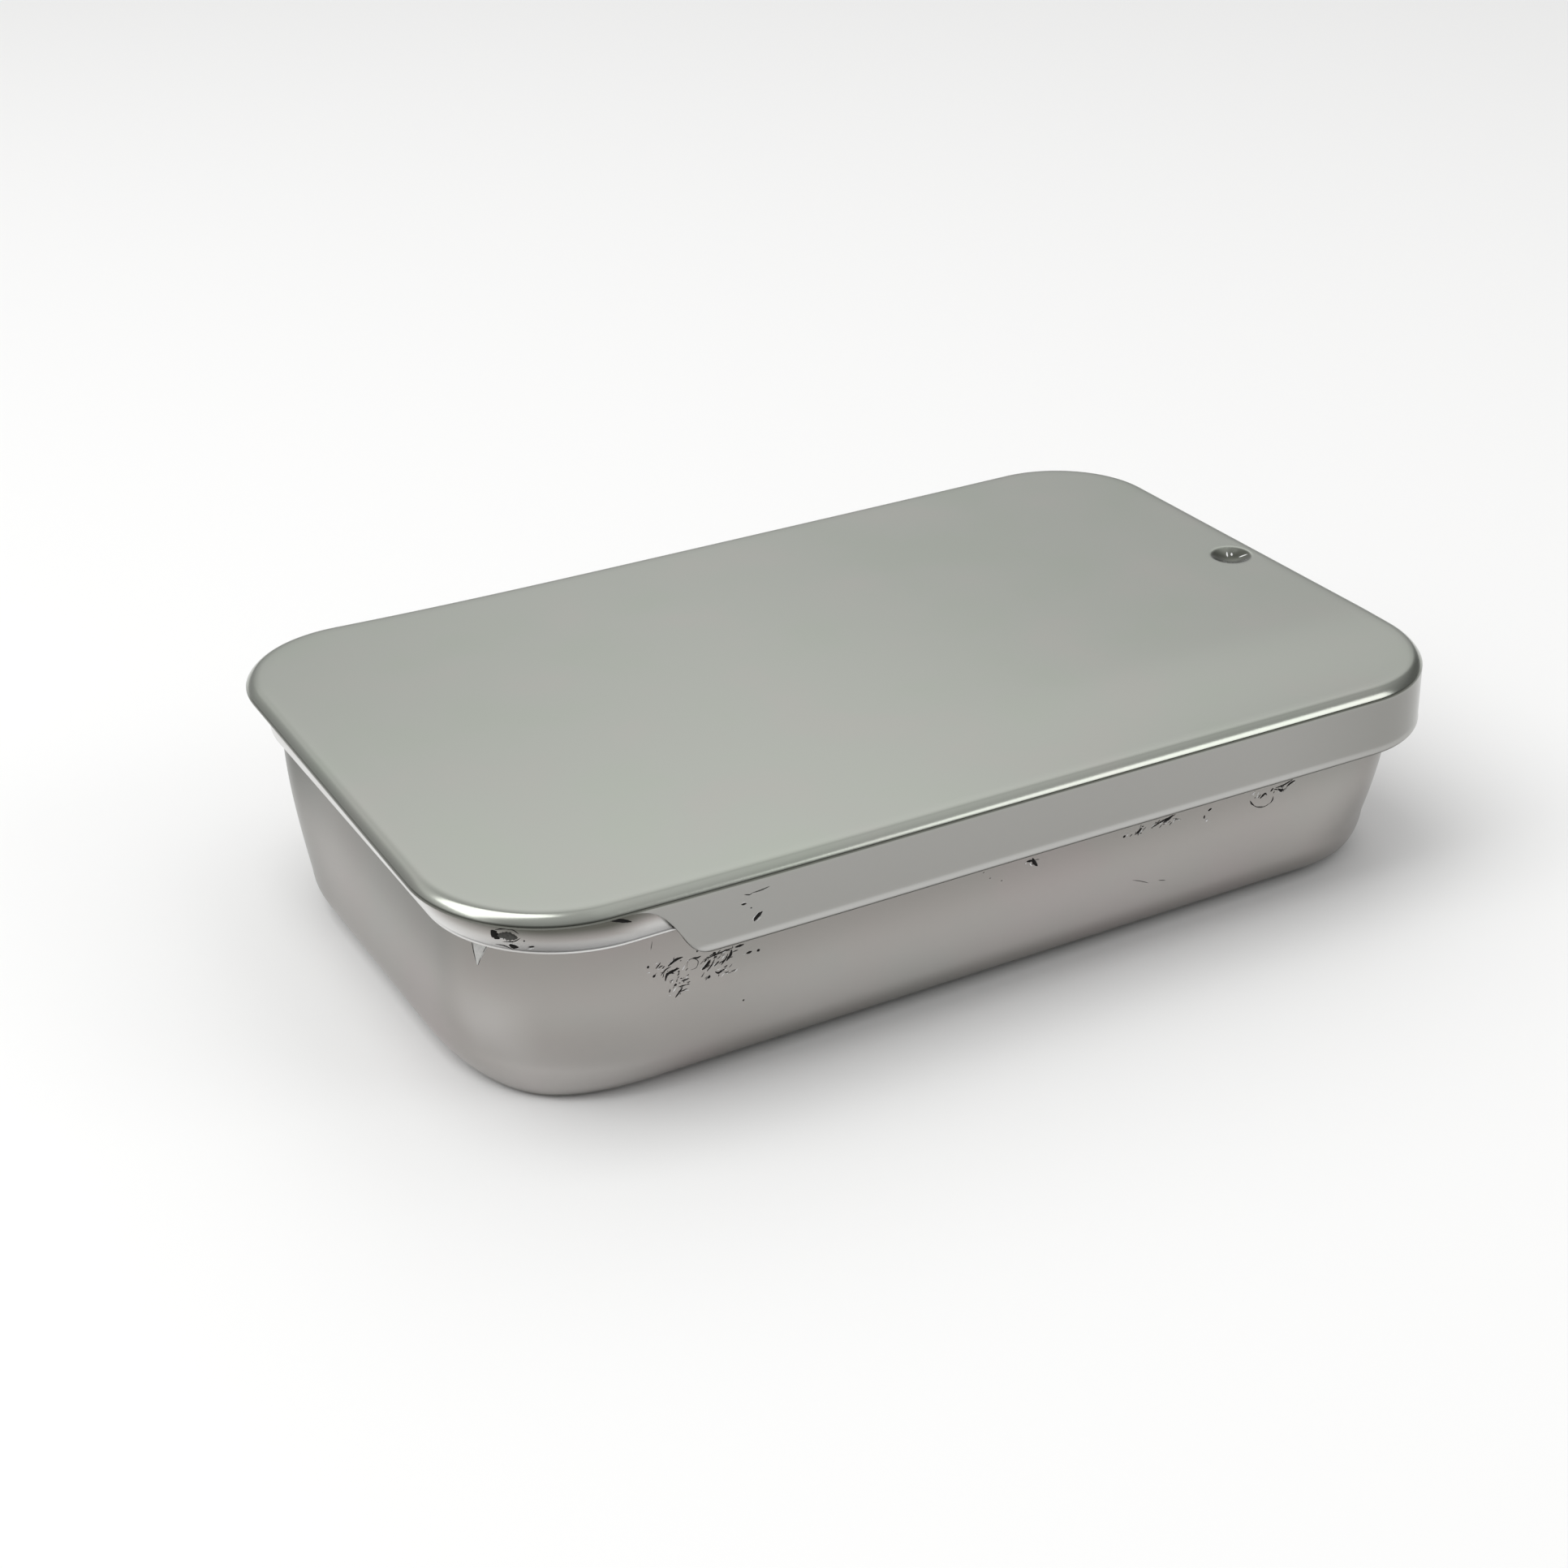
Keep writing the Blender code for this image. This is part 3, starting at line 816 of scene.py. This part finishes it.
# Slivers: how they stand on the metal, and how they taper
SLIVER_RISE = 0.035 * MM                 # height of the middle ...
SLIVER_STEEPNESS = 0.35                  # ... but no more than this share of half the width
SLIVER_SINK = 0.01 * MM                  # the edges lie this deep in the metal, and the underside ...
SLIVER_DEPTH = 0.05 * MM                 # ... this deep
SLIVER_SHOULDER = (0.6, 0.7)             # bend of the cross-section, in shares of its reach and its rise
SLIVER_TIP = 0.12                        # width of the tips, as a share of the whole width
SLIVER_STEP = 0.07                       # distance between cross-sections, in mm
RAGGED = (0.2, 0.7)                      # how much the width varies, and how fast it grows from the tips
BLUNT = (0.04, 1.3)                      # the same for blunt slivers


def smooth_path(places, spacing):
    """Evenly refined Catmull-Rom curve through the places."""
    points = [Vector(place) for place in places]
    padded = [2 * points[0] - points[1]] + points + [2 * points[-1] - points[-2]]
    curve = []
    for a, b, c, d in zip(padded, padded[1:], padded[2:], padded[3:]):
        steps = max(2, math.ceil((c - b).length / spacing))
        for step in range(steps):
            t = step / steps
            curve.append(0.5 * (2 * b + (c - a) * t + (2 * a - 5 * b + 4 * c - d) * t ** 2
                                + (3 * b - a - 3 * c + d) * t ** 3))
    return curve + [points[-1]]


def short_stroke(place, width, rng):
    """Two places for a round fleck: a stroke as long as it is wide, at a random slant."""
    slant = rng.uniform(*DOT_SLANT)
    reach = Vector((math.cos(slant), 0, math.sin(slant))) * 0.5 * width
    return Vector(place) - reach, Vector(place) + reach


def sliver_section(half):
    """Cross-section of a sliver: (place across in shares of its reach, height over the metal)."""
    rise = min(SLIVER_RISE, SLIVER_STEEPNESS * half)
    side, height = SLIVER_SHOULDER
    return ((-1, -SLIVER_SINK), (-side, height * rise), (0, rise), (side, height * rise), (1, -SLIVER_SINK),
            (0, -SLIVER_DEPTH))


def streak(bm, surface, places, width, blunt, rng):
    """A thin closed sliver that hugs the surface along the places and tapers to both ends.

    A blunt one keeps its full width where it starts.
    """
    if len(places) == 1:
        places = short_stroke(places[0], width, rng)
    curve = [point * MM for point in smooth_path(places, SLIVER_STEP)]
    half = 0.5 * width * MM
    variation, growth = BLUNT if blunt else RAGGED
    rings = []
    last = len(curve) - 1
    for index, point in enumerate(curve):
        spot, normal, _, _ = surface.find_nearest(point)
        tangent = curve[min(index + 1, last)] - curve[max(index - 1, 0)]
        across = normal.cross(tangent).normalized()
        share = (index + last) / (2 * last) if blunt else index / last
        fullness = SLIVER_TIP + (1 - SLIVER_TIP) * math.sin(math.pi * share) ** growth
        reach = half * fullness * rng.uniform(1 - variation, 1 + variation)
        ring = []
        for side, height in sliver_section(half):
            edge_spot, edge_normal, _, _ = surface.find_nearest(spot + across * side * reach)
            ring.append(bm.verts.new(edge_spot + edge_normal * height))
        rings.append(ring)
    for before, after in zip(rings, rings[1:]):
        bridge(bm, before, after)
    bm.faces.new(rings[0])
    bm.faces.new(rings[-1])


def wear_piece(name, slot, surface, marks, material, rng):
    bm = bmesh.new()
    for places, width, *blunt in marks:
        streak(bm, surface, places, width, bool(blunt), rng)
    bmesh.ops.recalc_face_normals(bm, faces=bm.faces)
    piece = add_object(name, bm)
    piece.data.shade_smooth()
    piece.data.materials.append(material)
    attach(piece, "root")


def scattered_flecks(rng):
    """Fine flecks that follow the run of the larger marks, sorted into dark, grey and bright ones."""
    groups = [[], [], []]
    for x_range, z_range, count in FLECKS:
        for _ in range(count):
            x = rng.uniform(*x_range)
            z = rng.uniform(*z_range)
            slant = rng.uniform(*FLECK_SLANT)
            reach = rng.uniform(*FLECK_REACH)
            bend = rng.uniform(*FLECK_BEND)
            step_x = reach * math.cos(slant)
            step_z = reach * math.sin(slant)
            places = ((x - step_x, z - step_z), (x, z + bend), (x + step_x, z + step_z))
            group = rng.choice(FLECK_GROUPS)
            groups[group] += flat_marks(WALL_Y, (rng.uniform(*FLECK_WIDTH), *places))
    return groups


def surface_of(piece):
    return BVHTree.FromPolygons([vertex.co.copy() for vertex in piece.data.vertices],
                                [tuple(face.vertices) for face in piece.data.polygons])


def build_wear(lid, tray):
    rng = random.Random(WEAR_SEED)
    dark, grey, bright, torn = [wear_material(*look) for look in WEAR_LOOKS]
    on_tray = ("tray_metal", surface_of(tray))
    on_lid = ("lid_metal", surface_of(lid))
    fleck_dark, fleck_grey, fleck_bright = scattered_flecks(rng)
    # the dark marks include the painted shadow under the lid's lip
    wear_piece("tray_nicks_and_painted_shadow", *on_tray, WALL_DARK + RIM_DARK + fleck_dark, dark, rng)
    wear_piece("tray_scuffs", *on_tray, WALL_GREY + RIM_GREY + fleck_grey, grey, rng)
    wear_piece("tray_glints", *on_tray, WALL_BRIGHT + RIM_BRIGHT + fleck_bright, bright, rng)
    wear_piece("tray_torn", *on_tray, RIM_TORN, torn, rng)
    wear_piece("lid_nicks", *on_lid, SKIRT_DARK, dark, rng)
    wear_piece("lid_scuffs", *on_lid, SKIRT_GREY, grey, rng)
    # the lid's bright marks include the painted glints in the dent
    wear_piece("lid_glints", *on_lid, SKIRT_BRIGHT + DENT_PAINTED_GLINTS, bright, rng)


# ------------ materials
LID_TINTS = ((0.362, 0.385, 0.341), (0.370, 0.386, 0.349), (0.380, 0.386, 0.353))
# painted reflection: the skirt is tinted darker and warmer than the lid's top for the light each side
# reflects
SKIRT_TINT = (0.354, 0.350, 0.334)
TRAY_TINTS = ((0.397, 0.387, 0.368), (0.406, 0.386, 0.368), (0.415, 0.383, 0.371))
PAINTED_LIGHT_TINT = (0.80, 0.80, 0.79)              # colour of the painted highlights
PAINTED_SHADE_TINT = (0.060, 0.063, 0.048)           # colour of the painted shade
LID_ROUGHNESS = 0.19
TRAY_ROUGHNESS = 0.25
ROUGHNESS_SPREAD = (-0.012, 0.016)       # the roughness wanders between these differences
BLOTCHES = {"Scale": 110.0, "Detail": 3.0, "Roughness": 0.45}      # about 9 mm wide
BLOTCH_STOPS = (0.32, 0.5, 0.68)         # parts of the noise that get the three tints
BLOTCH_RANGE = (0.3, 0.7)                # parts of the noise that spread the roughness
GRAIN = {"Scale": 2600.0, "Detail": 2.0}     # about 0.4 mm wide
GRAIN_STRENGTH = 0.04
GRAIN_HEIGHT = 0.02 * MM
# Wear: (name, darkest and lightest colour, roughness, metallic)
WEAR_LOOKS = (
    # grime, and also the painted shadow under the lid's lip
    ("grime_dark_and_painted_shadow", (0.006, 0.006, 0.006), (0.022, 0.020, 0.019), 0.65, 0.0),
    ("scuff_grey", (0.055, 0.055, 0.05), (0.13, 0.127, 0.12), 0.50, 0.2),
    # torn metal, and also the painted glints in the dent
    ("torn_bright_and_painted_glints", (0.75, 0.76, 0.76), (0.95, 0.95, 0.95), 0.35, 0.2),
    ("torn_dull", (0.42, 0.42, 0.41), (0.66, 0.66, 0.64), 0.40, 0.3),
)
WEAR_PATCHES = {"Scale": 6000.0}
WEAR_GLOSS = 0.15
WEAR_SEED = 11


def add_node(tree, kind, values=None, **settings):
    """A new node with these settings, and these values on its inputs."""
    node = tree.nodes.new(kind)
    for key, value in settings.items():
        setattr(node, key, value)
    for socket, value in (values or {}).items():
        node.inputs[socket].default_value = value
    return node


def link(tree, source, target):
    tree.links.new(source, target)


def new_material(name, values):
    """(material, its node tree, its shader with these values)"""
    material = bpy.data.materials.new(name)
    material.use_nodes = True
    shader = material.node_tree.nodes["Principled BSDF"]
    for socket, value in values.items():
        shader.inputs[socket].default_value = value
    return material, material.node_tree, shader


def add_noise(tree, values):
    """Noise in real-scale object space."""
    place = add_node(tree, "ShaderNodeTexCoord")
    pattern = add_node(tree, "ShaderNodeTexNoise", values)
    link(tree, place.outputs["Object"], pattern.inputs["Vector"])
    return pattern.outputs["Fac"]


def add_ramp(tree, share, stops, interpolation):
    """Colour ramp with these stops: (position, colour)."""
    ramp = add_node(tree, "ShaderNodeValToRGB")
    ramp.color_ramp.interpolation = interpolation
    elements = ramp.color_ramp.elements
    for position, _ in stops[1:-1]:
        elements.new(position)
    for element, (position, colour) in zip(elements, stops):
        element.position = position
        element.color = (*colour, 1)
    link(tree, share, ramp.inputs["Fac"])
    return ramp.outputs["Color"]


def add_mix(tree, share, low, high):
    """Blend of two colours, each given by its value or its socket."""
    blend = add_node(tree, "ShaderNodeMix", data_type="RGBA")
    link(tree, share, blend.inputs["Factor"])
    for socket, colour in (("A", low), ("B", high)):
        if isinstance(colour, tuple):
            blend.inputs[socket].default_value = (*colour, 1)
        else:
            link(tree, colour, blend.inputs[socket])
    return blend.outputs["Result"]


def add_map(tree, share, limits, **settings):
    """Maps a share from between the first two limits to between the others, or to between 0 and 1."""
    names = ("From Min", "From Max", "To Min", "To Max")
    spread = add_node(tree, "ShaderNodeMapRange", dict(zip(names, limits)), **settings)
    link(tree, share, spread.inputs["Value"])
    return spread.outputs["Result"]


def wear_material(name, low, high, roughness, metallic):
    """Grime and torn metal of uneven shade; the same looks serve the painted shadow and painted glints."""
    values = {"Metallic": metallic, "Roughness": roughness, "Specular IOR Level": WEAR_GLOSS}
    material, tree, shader = new_material(name, values)
    link(tree, add_mix(tree, add_noise(tree, WEAR_PATCHES), low, high), shader.inputs["Base Color"])
    return material


def satin_metal(name, tints, roughness, skirt_tint=None):
    """Bare satin sheet: blotchy tint, painted light and shade, a skirt tint of painted reflection, and a fine
    grain.
    """
    material, tree, shader = new_material(name, {"Metallic": 1.0})
    blotches = add_noise(tree, BLOTCHES)
    # the attribute's painted light blends in the light tint, and its painted shade, turned positive, the dark
    # one
    painted_light_and_shade = add_node(tree, "ShaderNodeAttribute", attribute_name="painted_light_and_shade").outputs["Fac"]
    painted_shade = add_node(tree, "ShaderNodeMath", {1: -1.0}, operation="MULTIPLY")
    link(tree, painted_light_and_shade, painted_shade.inputs[0])
    layers = [(painted_light_and_shade, PAINTED_LIGHT_TINT), (painted_shade.outputs["Value"], PAINTED_SHADE_TINT)]
    if skirt_tint:
        skirt = add_node(tree, "ShaderNodeAttribute", attribute_name="skirt").outputs["Fac"]
        layers.insert(0, (skirt, skirt_tint))
    colour = add_ramp(tree, blotches, list(zip(BLOTCH_STOPS, tints)), "EASE")
    for share, tint in layers:
        colour = add_mix(tree, share, colour, tint)
    link(tree, colour, shader.inputs["Base Color"])
    limits = BLOTCH_RANGE + tuple(roughness + difference for difference in ROUGHNESS_SPREAD)
    link(tree, add_map(tree, blotches, limits), shader.inputs["Roughness"])
    bump = add_node(tree, "ShaderNodeBump", {"Strength": GRAIN_STRENGTH, "Distance": GRAIN_HEIGHT})
    link(tree, add_noise(tree, GRAIN), bump.inputs["Height"])
    link(tree, bump.outputs["Normal"], shader.inputs["Normal"])
    return material


# ------------ floor, light, camera
FLOOR_REACH = 2.5                        # half the floor's side
FLOOR_GAP = 0.02 * MM                    # it lies this much under the tin
FLOOR_LOOK = {"Base Color": (0.92, 0.92, 0.915, 1), "Roughness": 0.9, "Specular IOR Level": 0.1}

# Brightness of the surround by the height of the direction: (sine of its elevation, value)
FRONT_SKY = ((0.0, 0.24), (0.30, 0.27), (0.50, 0.45), (0.70, 0.72), (0.85, 0.95), (0.98, 1.00))
BACK_SKY = ((0.0, 0.58), (0.20, 0.62), (0.30, 0.76), (0.375, 0.82), (0.43, 1.05), (0.485, 1.34), (0.62, 1.25),
            (0.90, 0.80))
BACK_DIRECTION = (-0.5, 1.0, 0.0)
BACK_RANGE = (-0.14, 0.32)               # the front sky turns into the back one between these shares
# The same by how far the direction turns to +X: dimmer on both sides of the middle
SIDE_FALL = ((0.15, 0.75), (0.32, 0.99), (0.42, 1.0), (0.64, 0.80))

# Softboxes that face the origin: (name, direction, distance, size, power)
SOFTBOXES = (
    ("overhead_box", (-0.44, 0.10, 0.90), 0.6, (0.38, 0.62), 1.8),
    ("front_box", (0.60, -0.62, 0.50), 0.7, (0.29, 0.24), 0.50),
)

CAMERA_PLACE = (-0.089263, -0.158612, 0.102493)
CAMERA_TURN = (62.0797, 1.3045, -28.8596)    # in degrees
CAMERA_LENS = 61.95                      # in mm, as the sensor's width
CAMERA_SENSOR = 36.0
CAMERA_NEAREST = 0.01


def build_floor():
    bm = bmesh.new()
    bmesh.ops.create_grid(bm, x_segments=4, y_segments=4, size=FLOOR_REACH)
    floor = add_object("floor", bm)
    floor.location.z = -FLOOR_GAP
    floor.data.materials.append(new_material("floor_pale", FLOOR_LOOK)[0])


def sky_ramp(tree, share, stops):
    """Brightness of the surround by a share of its direction."""
    return add_ramp(tree, share, [(position, (value, value, value)) for position, value in stops], "LINEAR")


def build_world():
    """Soft studio surround: dim in front and to the right, brighter behind and to the left."""
    world = bpy.data.worlds.new("studio")
    bpy.context.scene.world = world
    world.use_nodes = True
    tree = world.node_tree
    background = tree.nodes["Background"]
    direction = add_node(tree, "ShaderNodeTexCoord").outputs["Generated"]
    split = add_node(tree, "ShaderNodeSeparateXYZ")
    link(tree, direction, split.inputs["Vector"])
    towards_back = add_node(tree, "ShaderNodeVectorMath", {1: BACK_DIRECTION}, operation="DOT_PRODUCT")
    link(tree, direction, towards_back.inputs[0])
    share = add_map(tree, towards_back.outputs["Value"], BACK_RANGE, interpolation_type="SMOOTHSTEP")
    front, back = [sky_ramp(tree, split.outputs["Z"], stops) for stops in (FRONT_SKY, BACK_SKY)]
    link(tree, add_mix(tree, share, front, back), background.inputs["Color"])
    link(tree, sky_ramp(tree, split.outputs["X"], SIDE_FALL), background.inputs["Strength"])


def add_softbox(name, direction, distance, size, power):
    light = bpy.data.lights.new(name, "AREA")
    light.shape = "RECTANGLE"
    light.size, light.size_y = size
    light.energy = power
    lamp = bpy.data.objects.new(name, light)
    bpy.context.scene.collection.objects.link(lamp)
    lamp.location = Vector(direction).normalized() * distance
    lamp.rotation_euler = Vector(direction).to_track_quat("Z", "Y").to_euler()


def build_camera():
    camera = bpy.data.cameras.new("camera")
    camera.lens = CAMERA_LENS
    camera.sensor_width = CAMERA_SENSOR
    camera.clip_start = CAMERA_NEAREST
    holder = bpy.data.objects.new("camera", camera)
    bpy.context.scene.collection.objects.link(holder)
    holder.location = CAMERA_PLACE
    holder.rotation_euler = [math.radians(angle) for angle in CAMERA_TURN]
    bpy.context.scene.camera = holder


build_wear(build_lid(), build_tray())
build_floor()
build_world()
for softbox in SOFTBOXES:
    add_softbox(*softbox)
build_camera()
bpy.context.scene.view_settings.view_transform = "Standard"
